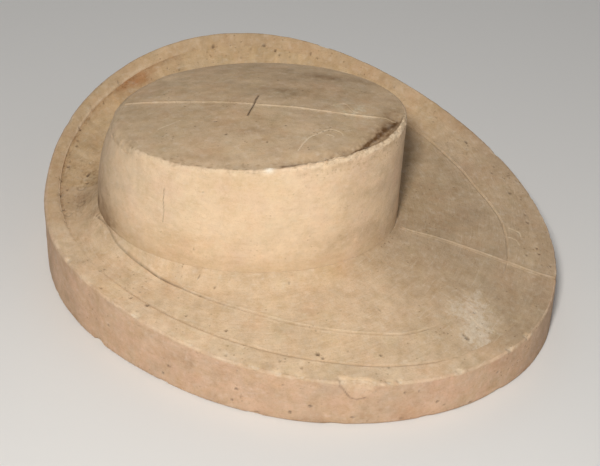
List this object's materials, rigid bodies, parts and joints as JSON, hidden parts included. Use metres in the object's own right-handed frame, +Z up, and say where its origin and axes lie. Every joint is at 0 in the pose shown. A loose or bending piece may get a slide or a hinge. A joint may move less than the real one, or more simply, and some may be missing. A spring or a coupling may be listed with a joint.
{
  "type": "hat mold",
  "caption": "Plaster hat mold: an oval crown block with a gently domed top, seated in a wide, uneven brim that turns up high on one side, with a thick upright outer wall. The crown lifts out.",
  "frame": {"origin": "On the flat underside, directly below the middle of the crown's oval top.", "axes": "+X runs along the scribed centre line to the wide, low front of the brim. +Y points to the high, turned-up side. +Z is up, away from the flat underside."},
  "size_m": [0.3726, 0.3199, 0.1397],
  "materials": {
    "wall_plaster": "matte aged plaster",
    "face_plaster": "matte aged plaster, worn and stained",
    "crown_plaster": "matte aged plaster, smooth",
    "fill_plaster": "matte plaster, scraped smooth",
    "backing_plaster": "matte coarse plaster",
    "hessian": "open woven hessian",
    "steel": "mild steel, dull",
    "brass": "turned brass, dull"
  },
  "bodies": {
    "brim": {"rim_wall": "wall_plaster", "rim_hoop": "steel", "brim_bed": "face_plaster", "bed_scrim": "hessian", "bed_backing": "backing_plaster", "bed_rods": "steel", "locating_cups": "brass"},
    "crown": {"crown_wall": "crown_plaster", "crown_scrim": "hessian", "crown_fill": "fill_plaster", "locating_pins": "brass"}
  },
  "joints": [
    {"name": "crown_lift", "type": "slide", "parent": "brim", "child": "crown", "axis": [0, 0, 1], "range_m": [0, 0.1]}
  ]
}
